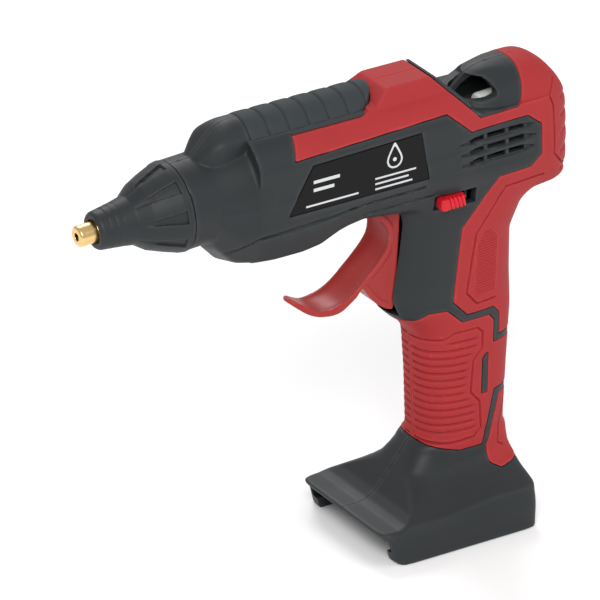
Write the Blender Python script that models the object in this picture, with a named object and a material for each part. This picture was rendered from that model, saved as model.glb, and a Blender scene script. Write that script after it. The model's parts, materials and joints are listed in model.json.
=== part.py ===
"""Cordless hot-glue gun without its battery: clamshell housing, soft overmoulds, trigger
and feed mechanism, melt chamber, nozzle and battery foot.

Millimetres are used throughout and turned into metres by MM when a mesh is made.
+Z is up, the nozzle points to -X, the tool is symmetric about Y = 0, and the
origin lies on the floor under the middle of the tool's length.
"""
import math

import bmesh
import bpy
from mathutils import Vector

MM = 0.001

# ---------------------------------------------------------------- driving sizes
NOZZLE_TIP_X = -129.8
REAR_X = 130.0
FEED_TIP_Z = 192.5            # feed axis height at the nozzle tip
FEED_SLOPE = 0.0535           # the feed axis rises towards the rear
NECK_X = -78.5                # front rim of the housing
SIDE_Y = 25.0                 # flat sides of the body
STICK_R = 5.6                 # 11.2 mm glue stick
TUNNEL_R = 8.2                # round way for the stick through the hood
BAY_TOP = 13.0                # roof of the battery bay
BAY_FRONT = -5.0              # the bay is cut from ahead of the foot
BAY_REAR = 86.0
BAY_HALF = 34.0
RAIL_HALF = 30.0              # the rails reach in to here
RAIL_TOP = 5.5
SCREW_R = 1.35
SCREW_HOLE_R = 1.75
HEAD_R = 3.2                  # pan head
HEAD_SEAT_R = 3.8
HEAD_Y = (13.8, 16.2)
BOSS_R = 4.3
VENT_TOP_Z = 199.2
VENT_PITCH = 5.4
VENT_HALF = 1.0
VENT_SLOTS = ((65.5, 73.5), (75.5, 85.5), (87.5, 96))
SKIN = 1.8                    # soft overmould
WALL = 4.2                    # overmould and hard wall together
GAP = 0.3                     # air between touching pieces
SPLIT = 0.15                  # half of the parting gap
TRIGGER_PIVOT = (30.0, 173.5)
TRIGGER_HALF = 10.0
PIN_UP = 17.0                 # feed pin above the trigger's pivot
SEG = 20                      # sides of small round pieces

# ---------------------------------------------------------------- body profiles
# (x, value) lines along the barrel; each is read between its points.
TOP = [(-78.5, 216.5), (-68, 218), (-62, 229), (-57, 231.4), (12, 231.4), (26, 230.7),
       (51, 230.7), (67, 216), (71, 218.5), (76, 221.3), (83, 224.2), (90, 225.9),
       (106, 225.9), (114, 222), (120, 216.5), (125, 209.5), (128, 202), (130, 192)]
CROWN_Y = [(-78.5, 10.7), (-62, 12), (12, 12), (26, 11.2), (51, 11.2), (67, 9), (71, 9.5),
           (83, 12), (106, 12.5), (120, 11), (130, 6)]
CROWN_Z = [(-78.5, 213.6), (-68, 214), (-62, 222), (-57, 224.6), (12, 224.8), (26, 230.5),
           (51, 230.5), (67, 214.6), (71, 214.5), (83, 219.8), (90, 222), (106, 222),
           (114, 218.5), (120, 213), (125, 206.5), (128, 199), (130, 190.5)]
SHOULDER_Y = [(-78.5, 17.6), (-62, 18.4), (-50, 19.5), (12, 19.5), (26, 17), (51, 17),
              (71, 13.5), (83, 17), (90, 18.6), (106, 18.6), (120, 17.5), (130, 9)]
SHOULDER_Z = [(-78.5, 207.4), (-62, 212), (-50, 221.2), (12, 221.4), (26, 224.8), (51, 224.8),
              (64, 214), (71, 210.6), (83, 210.9), (90, 214.5), (106, 214.5), (120, 205.5),
              (128, 195), (130, 188)]
SIDE_HALF = [(-78.5, 21.5), (-66, 21.6), (-40, 25), (60, 25), (72, 23.4), (90, 22.6), (104, 22.6),
             (118, 21), (125, 17), (130, 10.5)]
SIDE_TOP = [(-78.5, 198.5), (-60, 203), (-40, 213.5), (50, 214.5), (66, 210), (90, 207),
            (106, 206), (120, 199), (128, 190), (130, 186)]
SIDE_LOW = [(-78.5, 191.5), (-60, 185), (-45, 178), (20, 177), (46, 166), (96, 166), (106, 172),
            (122, 172), (128, 174), (130, 177)]
BELLY_Y = [(-78.5, 15.2), (-60, 16), (-40, 18), (20, 17), (46, 21), (92, 21), (106, 17), (122, 14),
           (130, 8)]
BELLY_Z = [(-78.5, 179.8), (-62, 174), (-48, 165), (-20, 163.4), (0, 165), (14, 170), (46, 158),
           (92, 158), (106, 165.5), (118, 166.5), (127, 170.5), (130, 175)]
BOTTOM = [(-78.5, 173.5), (-66, 172.6), (-58, 169), (-46, 160.5), (-20, 159.2), (0, 161.5),
          (14, 167), (46, 156), (92, 156), (106, 162), (118, 163.4), (127, 168), (130, 174)]
BARREL_X = (-78.5, -66, -61, -57, -46, -20, 0, 14, 26, 51, 67, 72, 83, 92, 106, 114, 121,
            126.5, 130)

# (z, centre x, half depth, half width) rings up the handle
HANDLE = [(30, 73.0, 22.5, 17.0), (50, 73.0, 23.0, 17.2), (75, 73.2, 24.0, 17.6),
          (98, 73.0, 25.5, 18.0), (104, 71.0, 28.0, 18.4), (112, 66.0, 33.0, 18.8),
          (122, 63.5, 35.0, 19.4), (145, 65.5, 32.5, 20.6), (160, 70.0, 35.0, 21.8),
          (172, 74.0, 42.0, 22.4), (180, 74.0, 42.0, 22.4)]
HANDLE_POWER = 2.7
HANDLE_SIDES = 16

# (z, front x, rear x, half width, power) rings of the battery foot
FOOT = [(0, 18.3, 95.5, 40, 14), (11, 14.7, 97, 39, 12), (15.5, 10.5, 98, 37.5, 10),
        (17.5, 14, 98.5, 35, 9), (22, 26, 99, 30.5, 7), (30, 38, 99, 25.5, 4.5), (41, 46, 97.5, 19.8, 3.2),
        (50, 50, 96, 17.2, 2.7)]
WINDOW = [(69.5, 211), (90, 211), (88, 215.5), (84, 218.5), (77, 219)]
TRIGGER_SLOT = [(12, 150), (12, 176), (46, 176), (53, 124), (53, 113), (20, 113)]

# ---------------------------------------------------------------- side outlines (x, z)
UPPER_RED = [(-29, 213.5), (53, 216), (66, 205), (97, 205), (104, 198), (104, 184), (98, 179),
             (82, 178), (63, 155), (60, 120), (60, 117), (68, 108.6), (83, 108.6), (87, 104),
             (87, 93), (140, 93), (140, 240), (16, 240), (16, 223.5), (11, 222.4), (-26, 222.4)]
NOTCH = [(50.6, 231.6), (71, 210), (91, 210), (95, 214), (95, 250), (50.6, 250)]
GRIP_RED = [(20, 110), (42, 110), (48, 113.5), (57, 113), (65.6, 105), (80.5, 105), (83.5, 101.5),
            (83.5, 89.6), (110, 89.6), (110, 65), (84.5, 65), (80.5, 48), (77, 38.6), (65, 38.6),
            (54, 41.6), (20, 51)]
HEEL_RED = [(88, 61.5), (110, 61.5), (110, 30), (84, 27.5), (79.5, 30), (79.5, 37), (83.5, 46)]
LABEL = [(-33, 187.5), (42, 187.5), (38, 211), (-20, 209.5)]
TOP_GRIP = [(-46, -12.4), (14, -12.4), (20, -9), (23.5, 0), (20, 9), (14, 12.4), (-46, 12.4)]
SCREWS = [(-53, 171.5), (-46, 217), (4, 171.5), (48, 217), (110, 176), (88, 140), (60, 99), (84, 58)]

# pieces cut with the MANIFOLD solver, because EXACT loses walls where thin skins nearly meet
THIN = ("shell", "half", "soft", "recess", "front_bulkhead", "rear_bulkhead")


# ---------------------------------------------------------------- small tools
def line(points, x):
    """Value of a profile line at x."""
    if x <= points[0][0]:
        return points[0][1]
    for (x0, v0), (x1, v1) in zip(points, points[1:]):
        if x <= x1:
            return v0 + (v1 - v0) * (x - x0) / (x1 - x0)
    return points[-1][1]


def feed_z(x):
    """Height of the feed axis at x."""
    return FEED_TIP_Z + FEED_SLOPE * (x - NOZZLE_TIP_X)


def material(name, colour, roughness, metallic=0.0):
    """One Principled material per piece."""
    made = bpy.data.materials.new(name)
    made.use_nodes = True
    shader = made.node_tree.nodes["Principled BSDF"]
    shader.inputs["Base Color"].default_value = (*colour, 1.0)
    shader.inputs["Roughness"].default_value = roughness
    shader.inputs["Metallic"].default_value = metallic
    return made


FINISHES = {
    "nylon": ((0.040, 0.043, 0.046), 0.55, 0.0),
    "soft_red": ((0.42, 0.030, 0.035), 0.60, 0.0),
    "soft_black": ((0.050, 0.056, 0.060), 0.70, 0.0),
    "trigger_red": ((0.33, 0.028, 0.028), 0.40, 0.0),
    "button_red": ((0.55, 0.006, 0.020), 0.35, 0.0),
    "label": ((0.012, 0.012, 0.012), 0.30, 0.0),
    "brass": ((0.78, 0.55, 0.22), 0.28, 1.0),
    "aluminium": ((0.72, 0.73, 0.74), 0.38, 1.0),
    "steel": ((0.60, 0.61, 0.63), 0.30, 1.0),
    "silicone": ((0.62, 0.20, 0.10), 0.60, 0.0),
    "ceramic": ((0.80, 0.78, 0.72), 0.60, 0.0),
    "glue": ((0.86, 0.86, 0.82), 0.35, 0.0),
    "board": ((0.02, 0.16, 0.06), 0.45, 0.0),
    "moulding": ((0.08, 0.08, 0.085), 0.50, 0.0),
}


def make(name, mesh, finish=None):
    """Object with its own material, or a plain tool solid when no finish is given."""
    obj = bpy.data.objects.new(name, mesh)
    bpy.context.scene.collection.objects.link(obj)
    if finish:
        obj.data.materials.clear()
        obj.data.materials.append(material(name, *FINISHES[finish]))
    return obj


def mesh_from(bm, name):
    """Closed mesh in metres from a mesh in millimetres, faces turned outwards."""
    bmesh.ops.recalc_face_normals(bm, faces=bm.faces)
    bmesh.ops.scale(bm, vec=(MM, MM, MM), verts=bm.verts)
    mesh = bpy.data.meshes.new(name)
    bm.to_mesh(mesh)
    bm.free()
    return mesh


def loft(name, rings, finish=None):
    """Solid through rings that all have the same number of points."""
    bm = bmesh.new()
    rows = [[bm.verts.new(point) for point in ring] for ring in rings]
    count = len(rows[0])
    for low, high in zip(rows, rows[1:]):
        for i in range(count):
            j = (i + 1) % count
            # the same diagonal everywhere, so that nested forms stay evenly apart
            bm.faces.new((low[i], low[j], high[j]))
            bm.faces.new((low[i], high[j], high[i]))
    bm.faces.new(rows[0])
    bm.faces.new(rows[-1])
    return make(name, mesh_from(bm, name), finish)


def prism(name, outline, low, high, axis="Y", finish=None):
    """Outline (x, z) drawn out along Y, (x, y) along Z or (y, z) along X."""
    place = {"Y": lambda a, b, h: (a, h, b), "Z": lambda a, b, h: (a, b, h),
             "X": lambda a, b, h: (h, a, b)}[axis]
    rings = [[place(a, b, h) for a, b in outline] for h in (low, high)]
    return loft(name, rings, finish)


def block(name, low, high, finish=None):
    """Box between two corners."""
    (x0, y0, z0), (x1, y1, z1) = low, high
    return prism(name, [(x0, y0), (x1, y0), (x1, y1), (x0, y1)], z0, z1, "Z", finish)


def circle(cx, cy, radius, sides=SEG):
    """Points round a circle."""
    steps = [2 * math.pi * (i + 0.5) / sides for i in range(sides)]
    return [(cx + radius * math.cos(a), cy + radius * math.sin(a)) for a in steps]


def turned(name, profile, centre=(0, 0), sides=SEG, finish=None):
    """Solid or tube turned about X from a closed (x, radius) outline."""
    bm = bmesh.new()
    cy, cz = centre
    rows = []
    for x, radius in profile:
        if radius < 1e-6:
            rows.append([bm.verts.new((x, cy, cz))])
        else:
            rows.append([bm.verts.new((x, y, z)) for y, z in circle(cy, cz, radius, sides)])
    closed = all(radius > 1e-6 for _, radius in profile)
    pairs = list(zip(rows, rows[1:]))
    if closed:
        pairs.append((rows[-1], rows[0]))
    for first, second in pairs:
        for i in range(sides):
            j = (i + 1) % sides
            ends = [first[i % len(first)], first[j % len(first)],
                    second[j % len(second)], second[i % len(second)]]
            face = list(dict.fromkeys(ends))
            if len(face) > 2:
                bm.faces.new(face)
    return make(name, mesh_from(bm, name), finish)


def grow(outline, distance):
    """Outline moved outwards by distance, corners kept sharp."""
    area = sum(a[0] * b[1] - b[0] * a[1] for a, b in zip(outline, outline[1:] + outline[:1]))
    turn = 1 if area > 0 else -1
    result = []
    for i, point in enumerate(outline):
        here = Vector(point)
        before = (here - Vector(outline[i - 1])).normalized()
        after = (Vector(outline[(i + 1) % len(outline)]) - here).normalized()
        normal_a = Vector((before.y, -before.x)) * turn
        normal_b = Vector((after.y, -after.x)) * turn
        mitre = (normal_a + normal_b) / max(0.3, 1 + normal_a.dot(normal_b))
        result.append(tuple(here + mitre * distance))
    return result


def combine(obj, tool, operation, keep_tool=False):
    """Apply one Boolean and drop the tool."""
    change = obj.modifiers.new("change", "BOOLEAN")
    change.operation = operation
    change.solver = "MANIFOLD" if obj.name.startswith(THIN) else "EXACT"
    change.object = tool
    graph = bpy.context.evaluated_depsgraph_get()
    mesh = bpy.data.meshes.new_from_object(obj.evaluated_get(graph))
    obj.modifiers.remove(change)
    obj.data = mesh
    if not keep_tool:
        bpy.data.objects.remove(tool)
    return obj


def cut(obj, tool, keep_tool=False):
    return combine(obj, tool, "DIFFERENCE", keep_tool)


def join(obj, tool, keep_tool=False):
    return combine(obj, tool, "UNION", keep_tool)


def common(obj, tool, keep_tool=False):
    return combine(obj, tool, "INTERSECT", keep_tool)


def copy(obj, name):
    """Second object with its own copy of the mesh."""
    twin = obj.copy()
    twin.data = obj.data.copy()
    twin.name = name
    bpy.context.scene.collection.objects.link(twin)
    return twin


def tidied(mesh, merge_flat):
    """The mesh as triangles, without slivers and, if asked, with flat areas merged first."""
    bm = bmesh.new()
    bm.from_mesh(mesh)
    if merge_flat:
        bmesh.ops.remove_doubles(bm, verts=bm.verts, dist=1e-5)
        bmesh.ops.dissolve_degenerate(bm, edges=bm.edges, dist=1e-6)
        bmesh.ops.dissolve_limit(bm, angle_limit=0.004, verts=bm.verts, edges=bm.edges)
    bmesh.ops.triangulate(bm, faces=bm.faces)
    return bm


def finish_piece(obj, name, finish):
    """Name a solid, give it its finish and clean the slivers that cutting leaves."""
    bm = tidied(obj.data, True)
    if any(len(edge.link_faces) != 2 for edge in bm.edges):
        bm.free()
        bm = tidied(obj.data, False)
    bm.to_mesh(obj.data)
    bm.free()
    obj.name = name
    obj.data.name = name
    obj.data.materials.clear()
    obj.data.materials.append(material(name, *FINISHES[finish]))
    return obj


# ---------------------------------------------------------------- outer form
def barrel_ring(x, inset):
    """Section of the barrel at x, moved inwards by inset."""
    half = [(0, line(TOP, x) - inset),
            (line(CROWN_Y, x) * 0.6, line(CROWN_Z, x) * 0.32 + line(TOP, x) * 0.68 - inset),
            (line(CROWN_Y, x) - 0.6 * inset, line(CROWN_Z, x) - 0.9 * inset),
            (line(SHOULDER_Y, x) - 0.8 * inset, line(SHOULDER_Z, x) - 0.8 * inset),
            (line(SIDE_HALF, x) - inset, line(SIDE_TOP, x) - 0.4 * inset),
            (line(SIDE_HALF, x) - inset, line(SIDE_LOW, x) + 0.3 * inset),
            (line(BELLY_Y, x) - 0.7 * inset, line(BELLY_Z, x) + 0.8 * inset),
            (line(BELLY_Y, x) * 0.55, line(BOTTOM, x) + inset + 0.8),
            (0, line(BOTTOM, x) + inset)]
    other = [(-y, z) for y, z in half[-2:0:-1]]
    return [(x, y, z) for y, z in half + other]


def oval(cx, half_x, half_y, power, sides):
    """Rounded rectangle: an oval whose corners fill out as power rises."""
    points = []
    for i in range(sides):
        angle = 2 * math.pi * (i + 0.5) / sides
        c, s = math.cos(angle), math.sin(angle)
        points.append((cx + math.copysign(abs(c) ** (2 / power), c) * half_x,
                       math.copysign(abs(s) ** (2 / power), s) * half_y))
    return points


def outer_form(name, inset):
    """Barrel, handle and foot as one solid, moved inwards by inset."""
    stations = [x for x in BARREL_X if inset == 0 or NECK_X - 1 < x < REAR_X - inset]
    if inset:
        stations = [NECK_X - 2] + stations[1:-1] + [REAR_X - 1.6 * inset]
    form = loft(name, [barrel_ring(x, inset) for x in stations])
    rings = [[(x, y, z) for x, y in oval(cx, a - inset, b - inset, HANDLE_POWER, HANDLE_SIDES)]
             for z, cx, a, b in HANDLE]
    join(form, loft("handle", rings))
    rings = []
    for z, front, rear, half, power in FOOT:
        height = max(z, BAY_TOP + 2.5) if inset >= WALL - 1 else z
        if z == 0 and inset and height == 0:
            height = -1
        if rings and height <= rings[-1][0][2]:
            rings.pop()
        rings.append([(x, y, height) for x, y in
                      oval((front + rear) / 2, (rear - front) / 2 - inset, half - inset, power,
                           HANDLE_SIDES)])
    return join(form, loft("foot", rings))


# ---------------------------------------------------------------- housing
def soft_piece(name, outline, outer, core, top=False):
    """Left and right halves of an overmould: outline cut from the skin."""
    for side, low, high in (("left", -60, -SPLIT), ("right", SPLIT, 60)):
        piece = prism("soft", outline, low, high)
        common(piece, outer, True)
        cut(piece, core, True)
        if top:
            cut(piece, prism("bite", grow(NOTCH, GAP), -60, 60))
            cut(piece, prism("bite", grow(TOP_GRIP, GAP), 210, 240, "Z"))
        if side == "right":
            for x, z in SCREWS:
                cut(piece, prism("access", circle(x, z, HEAD_SEAT_R + GAP, 12), 10, 60))
        finish_piece(piece, f"{name}_{side}", "soft_red")


def housing():
    """Two shells with their openings, bosses and seats, and what lies in the skin."""
    outer = outer_form("outer", 0)
    core = outer_form("core", SKIN)
    seat = outer_form("seat", SKIN + 2 * GAP)
    cavity = outer_form("cavity", WALL)
    boss_limit = outer_form("boss_limit", WALL - 1.0)
    bulkheads(outer_form("clear", WALL + 2 * GAP))
    soft_piece("upper_overmould", UPPER_RED, outer, core, True)
    soft_piece("grip_overmould", GRIP_RED, outer, core)
    soft_piece("heel_pad", HEEL_RED, outer, core)
    top = prism("top", TOP_GRIP, 215, 240, "Z")
    common(top, outer, True)
    cut(top, core, True)
    finish_piece(top, "top_grip", "soft_black")

    shell = copy(outer, "shell")
    recess = prism("recess", grow(UPPER_RED, GAP), -60, 60)
    cut(recess, prism("bite", NOTCH, -70, 70))
    join(recess, prism("grip", grow(GRIP_RED, GAP), -60, 60))
    join(recess, prism("heel", grow(HEEL_RED, GAP), -60, 60))
    join(recess, prism("top", grow(TOP_GRIP, GAP), 210, 245, "Z"))
    cut(recess, seat, True)
    cut(shell, recess)
    cut(shell, cavity)
    for x, z in SCREWS:
        boss = prism("boss", circle(x, z, BOSS_R, 12), -30, 30)
        common(boss, boss_limit, True)
        join(shell, boss)
    for tool in housing_cutters():
        cut(shell, tool)
    for side, sign in (("left", -1), ("right", 1)):
        half = copy(shell, "half")
        low, high = sorted((sign * SPLIT, sign * 70))
        common(half, block("side", (-140, low, -5), (140, high, 250)))
        for x, z in SCREWS:
            cut(half, prism("hole", circle(x, z, SCREW_HOLE_R, 12), -14, 40))
            if sign > 0:
                cut(half, prism("seat", circle(x, z, HEAD_SEAT_R, 12), HEAD_Y[0] - GAP, 40))
        finish_piece(half, f"housing_{side}", "nylon")
    for obj in (outer, core, seat, boss_limit, shell):
        bpy.data.objects.remove(obj)


def bulkheads(clear):
    """Plates across the barrel that hold the two guide rods."""
    for name, x in (("front_bulkhead", -8.0), ("rear_bulkhead", 57.0)):
        plate = block(name, (x, -40, 186), (x + 4, 40, 240))
        common(plate, clear, True)
        cut(plate, prism("bore", circle(0, feed_z(x), 9.2, 20), x - 2, x + 6, "X"))
        for sign in (-1, 1):
            cut(plate, prism("rod", circle(sign * 14.0, feed_z(x + 2), 2.1, 10), x - 2, x + 6, "X"))
        finish_piece(plate, name, "moulding")
    bpy.data.objects.remove(clear)


def housing_cutters():
    """Openings through the shells."""
    tools = [turned("front", [(-85, 0), (-85, 18.9), (-70, 18.9), (-70, 0)], (0, 195.3))]
    # battery bay: wide above the rails, narrower between them, open to the front and below
    tools.append(block("bay", (BAY_FRONT, -BAY_HALF, RAIL_TOP), (BAY_REAR, BAY_HALF, BAY_TOP)))
    tools.append(block("rails", (BAY_FRONT, -RAIL_HALF, -5), (BAY_REAR, RAIL_HALF, RAIL_TOP + 1)))
    tools.append(block("terminal_seat", (43.6, -20.4, BAY_TOP - 3), (78.4, 20.4, 34)))
    # slot for the trigger, from the belly down the front of the handle
    tools.append(prism("slot", TRIGGER_SLOT, -TRIGGER_HALF - 0.5, TRIGGER_HALF + 0.5))
    tools.append(prism("pin_seat", circle(*TRIGGER_PIVOT, 2.3, 12), -18, 18))
    # tunnel through the hood and the window in its near side
    tools.append(turned("tunnel", [(60, 0), (60, TUNNEL_R), (140, TUNNEL_R), (140, 0)],
                        (0, feed_z(95))))
    for sign in (-1, 1):
        low, high = sorted((sign * 4.0, sign * 30))
        tools.append(prism("window", WINDOW, low, high))
    # cooling slots
    for row in range(3):
        z = VENT_TOP_Z - VENT_PITCH * row
        for start, end in VENT_SLOTS:
            tools.append(block("vent", (start, -30, z - VENT_HALF), (end, 30, z + VENT_HALF)))
    # slot for the switch button, near side only
    tools.append(block("switch", (47.6, -30, 167.6), (69.4, -18, 175.4)))
    # seats of the two labels
    for sign in (-1, 1):
        low, high = sorted((sign * (SIDE_Y - 1.0), sign * 30))
        tools.append(prism("label_seat", grow(LABEL, GAP), low, high))
    return tools


# ---------------------------------------------------------------- pieces on the feed axis
def on_feed_axis():
    """Empty whose X runs along the feed axis, from the nozzle tip to the rear."""
    axis = bpy.data.objects.new("feed_axis", None)
    bpy.context.scene.collection.objects.link(axis)
    axis.location = (NOZZLE_TIP_X * MM, 0, FEED_TIP_Z * MM)
    axis.rotation_euler = (0, -math.atan(FEED_SLOPE), 0)
    return axis


def hot_end():
    """Nozzle, heat shield, melt chamber, heaters and what holds them."""
    pieces = [turned("nozzle", [(0, 1.6), (0, 3.4), (1.6, 4.9), (9.0, 4.9), (9.4, 5.2), (13, 5.2),
                                (13.4, 3.9), (21, 3.9), (21, 1.6)], finish="brass")]
    cone = [(8.6, 5.7), (8.6, 8.4), (9.4, 9.0), (21, 10.5), (27, 11.5), (33, 16.0), (40, 18.5),
            (48.6, 21.2), (49.7, 21.6), (49.7, 18.4), (57.0, 18.4), (57.0, 16.6), (50, 17.0), (38, 14.6),
            (31, 12.6), (26, 9.0), (16, 7.6), (14, 5.7)]
    shield = turned("nose_cone", cone, sides=24, finish="nylon")
    pieces.append(shield)
    chamber = turned("melt_chamber", [(17.5, 4.3), (17.5, 6.6), (25, 7.2), (31, 10.8), (40, 12.6),
                                      (96, 12.6), (96, 6.1), (30, 6.1), (24.5, 4.3)], sides=24)
    fins = block("fins", (67, -15.2, -2.2), (86, 15.2, 2.2))
    cut(fins, turned("bore", [(40, 0), (40, 6.1), (98, 6.1), (98, 0)], sides=24))
    join(chamber, fins)
    pieces.append(finish_piece(chamber, "melt_chamber", "aluminium"))
    for side, sign in (("upper", 1), ("lower", -1)):
        low, high = sorted((sign * 12.9, sign * 15.6))
        pieces.append(block(f"heater_{side}", (67, -4.5, low), (86, 4.5, high), "ceramic"))
    for name, x in (("front_collar", 60.0), ("rear_collar", 88.0)):
        pieces.append(turned(name, [(x, 12.9), (x, 16.3), (x + 5, 16.3), (x + 5, 12.9)],
                             sides=SEG, finish="ceramic"))
    pieces.append(turned("inlet_sleeve", [(96.3, 5.95), (96.3, 9.6), (101, 9.6), (103, 8.6),
                                          (122, 8.6), (122, 5.95)], sides=24, finish="silicone"))
    pieces.append(turned("sleeve_clip", [(108, 8.9), (108, 10.0), (111, 10.0), (111, 8.9)],
                         sides=24, finish="steel"))
    pieces.append(turned("thermostat", [(68, 0), (68, 2.4), (80, 2.4), (80, 0)], (11.5, -10.8),
                         12, "steel"))
    return pieces


def feed_parts():
    """Sticks, guide rods and the carriage that grips the stick."""
    reach = (TRIGGER_PIVOT[0] - NOZZLE_TIP_X) / math.cos(math.atan(FEED_SLOPE))
    start = reach - 14
    pieces = [turned("glue_stick", [(40, 0), (40, 4.4), (41, STICK_R), (190, STICK_R), (190, 0)],
                     sides=24, finish="glue")]
    pieces.append(turned("next_glue_stick", [(214, 0), (214, STICK_R), (252, STICK_R), (252, 0)],
                         sides=24, finish="glue"))
    for side, sign in (("left", -1), ("right", 1)):
        pieces.append(turned(f"guide_rod_{side}", [(124, 0), (124, 1.5), (196, 1.5), (196, 0)],
                             (sign * 14.0, 0), 12, "steel"))
    body = block("feed_carriage", (start, -17.5, -5.5), (start + 26, 17.5, 9.5))
    cut(body, turned("bore", [(start - 5, 0), (start - 5, 6.3), (start + 40, 6.3), (start + 40, 0)],
                     sides=24))
    for sign in (-1, 1):
        cut(body, turned("rod", [(start - 5, 0), (start - 5, 1.8), (start + 40, 1.8),
                                 (start + 40, 0)], (sign * 14.0, 0), 12))
    pieces.append(body)
    return pieces, start


def feed_carriage(body, start):
    """Cheeks below the carriage carry the fork's pin; the jaw balances on it."""
    for sign in (-1, 1):
        low, high = sorted((sign * 6.6, sign * 9.2))
        join(body, block("cheek", (start + 6, low, -14.5), (start + 20, high, -5.0)))
    tilt = math.atan(FEED_SLOPE)
    px, pz = TRIGGER_PIVOT[0] - NOZZLE_TIP_X, TRIGGER_PIVOT[1] + PIN_UP - FEED_TIP_Z
    pin_x = px * math.cos(tilt) + pz * math.sin(tilt)
    pin_z = -px * math.sin(tilt) + pz * math.cos(tilt)
    cut(body, prism("pin_hole", circle(pin_x, pin_z, 1.85, 12), -12, 12))
    finish_piece(body, "feed_carriage", "moulding")
    pin = prism("feed_pin", circle(pin_x, pin_z, 1.5, 12), -15.5, 15.5, finish="steel")
    jaw = prism("grip_jaw", [(pin_x - 3.8, pin_z - 3), (pin_x + 2.8, pin_z - 3), (pin_x + 3.6, -7.4),
                             (pin_x + 4.6, -6.1), (pin_x + 2.2, -6.4), (pin_x - 3.8, -8.6)],
                -6.0, 6.0)
    cut(jaw, prism("pin_hole", circle(pin_x, pin_z, 1.8, 12), -12, 12))
    return pin, finish_piece(jaw, "grip_jaw", "steel")


# ---------------------------------------------------------------- trigger
def trigger():
    """Blade, web and fork about the trigger pin."""
    px, pz = TRIGGER_PIVOT
    side = [(px - 7, pz + 3), (px - 11, pz - 5), (24, 165.5), (28.4, 161.5), (31.0, 156), (30.4, 151),
            (28.8, 147.5), (25, 143), (21, 139.2), (16.4, 135), (10.4, 129.6), (3, 125.9), (-5, 125.0),
            (-6, 122.4), (2, 122.2), (5.9, 123.2), (10.3, 126.2), (13, 128.1), (16.3, 132.2),
            (20.2, 126.2), (24.7, 121.3), (28.6, 118.5), (32.5, 117.1), (33.6, 120.5), (34.8, 137),
            (35.6, 151.4), (px + 6.6, pz - 4), (px + 4, pz + 5)]
    blade = prism("trigger", side, -TRIGGER_HALF, TRIGGER_HALF)
    join(blade, prism("tip", [(-2, 122.6), (-2, 125.2), (-8.5, 126.6), (-13, 129.2), (-17, 132), (-19.4, 132.6),
                              (-19.6, 130.6), (-14, 126.4), (-10.4, 123.9), (-5.7, 122.7)], -6, 6))
    for sign in (-1, 1):
        low, high = sorted((sign * 9.6, sign * 12.6))
        fork = prism("fork", [(px - 6, pz + 3.5), (px + 6, pz + 0.8), (px + 4, pz + PIN_UP + 4.5),
                              (px - 4, pz + PIN_UP + 4.5)], low, high)
        join(blade, fork)
    cut(blade, prism("slot", [(px - 1.8, pz + PIN_UP - 2.4), (px + 1.8, pz + PIN_UP - 2.4),
                              (px + 1.8, pz + PIN_UP + 6), (px - 1.8, pz + PIN_UP + 6)], -20, 20))
    cut(blade, prism("pin_hole", circle(px, pz, 2.3, 16), -20, 20))
    cut(blade, block("spring_bay", (px - 9, -3.4, pz - 4.7), (px + 12, 3.4, pz + 10)))
    finish_piece(blade, "trigger", "trigger_red")
    prism("trigger_pin", circle(px, pz, 2.0, 12), -17.6, 17.6, finish="steel")


def return_spring():
    """Torsion spring on the trigger pin, in the bay between the trigger's two hubs."""
    px, pz = TRIGGER_PIVOT
    wire, coil, turns, rings, width = 0.45, 3.4, 3, 30, 4.6
    path = [Vector((px + 9, -width / 2, pz + coil + 1.5))]
    for i in range(rings + 1):
        angle = math.pi / 2 + 2 * math.pi * turns * i / rings
        path.append(Vector((px + coil * math.cos(angle), width * (i / rings - 0.5),
                            pz + coil * math.sin(angle))))
    path.append(Vector((px - 8, width / 2, pz + coil + 0.6)))
    bm = bmesh.new()
    rows = []
    for i, point in enumerate(path):
        ahead = path[min(i + 1, len(path) - 1)] - path[max(i - 1, 0)]
        ahead.normalize()
        side = ahead.cross(Vector((0, 1, 0))).normalized()
        up = side.cross(ahead).normalized()
        rows.append([bm.verts.new(point + wire * (math.cos(a) * side + math.sin(a) * up))
                     for a in (0.5, 1.76, 3.01, 4.27, 5.53)])
    for first, second in zip(rows, rows[1:]):
        for i in range(5):
            j = (i + 1) % 5
            bm.faces.new((first[i], first[j], second[j], second[i]))
    bm.faces.new(rows[0])
    bm.faces.new(rows[-1])
    make("trigger_spring", mesh_from(bm, "trigger_spring"), "steel")


# ---------------------------------------------------------------- electrics
def electrics():
    """Switch, board and battery contacts."""
    button = block("switch_button", (49.0, -26.0, 168.4), (62.5, -19.8, 174.6))
    join(button, block("tongue", (52.5, -20.5, 170.0), (58.5, -16.4, 173.0)))
    finish_piece(button, "switch_button", "button_red")
    switch = block("switch_body", (46, -16.9, 165.5), (68, -9.5, 177.5))
    cut(switch, block("groove", (51.5, -18, 169.4), (66.5, -14.5, 173.6)))
    finish_piece(switch, "switch_body", "moulding")
    block("control_board", (62, 8.0, 118), (82, 9.6, 164), "board")
    block("power_transistor", (66, 4.0, 140), (76, 7.7, 154), "moulding")
    terminal = block("terminal_block", (44, -20, BAY_TOP + GAP), (78, 20, BAY_TOP + 11))
    finish_piece(terminal, "terminal_block", "moulding")
    for name, y in (("contact_negative", -13), ("contact_signal", 0), ("contact_positive", 13)):
        block(name, (50, y - 0.5, BAY_TOP - 4), (70, y + 0.5, BAY_TOP), "steel")


def labels():
    """Thin plates in the sides of the body."""
    for side, sign in (("left", -1), ("right", 1)):
        low, high = sorted((sign * (SIDE_Y - 0.7), sign * SIDE_Y))
        prism(f"label_{side}", LABEL, low, high, finish="label")


def screws():
    """Pan-head screws that hold the halves together."""
    for number, (x, z) in enumerate(SCREWS, 1):
        screw = prism("screw", circle(x, z, SCREW_R, 8), -11, HEAD_Y[0] + 0.1)
        join(screw, prism("head", circle(x, z, HEAD_R, 10), *HEAD_Y))
        finish_piece(screw, f"screw_{number}", "steel")


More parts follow.
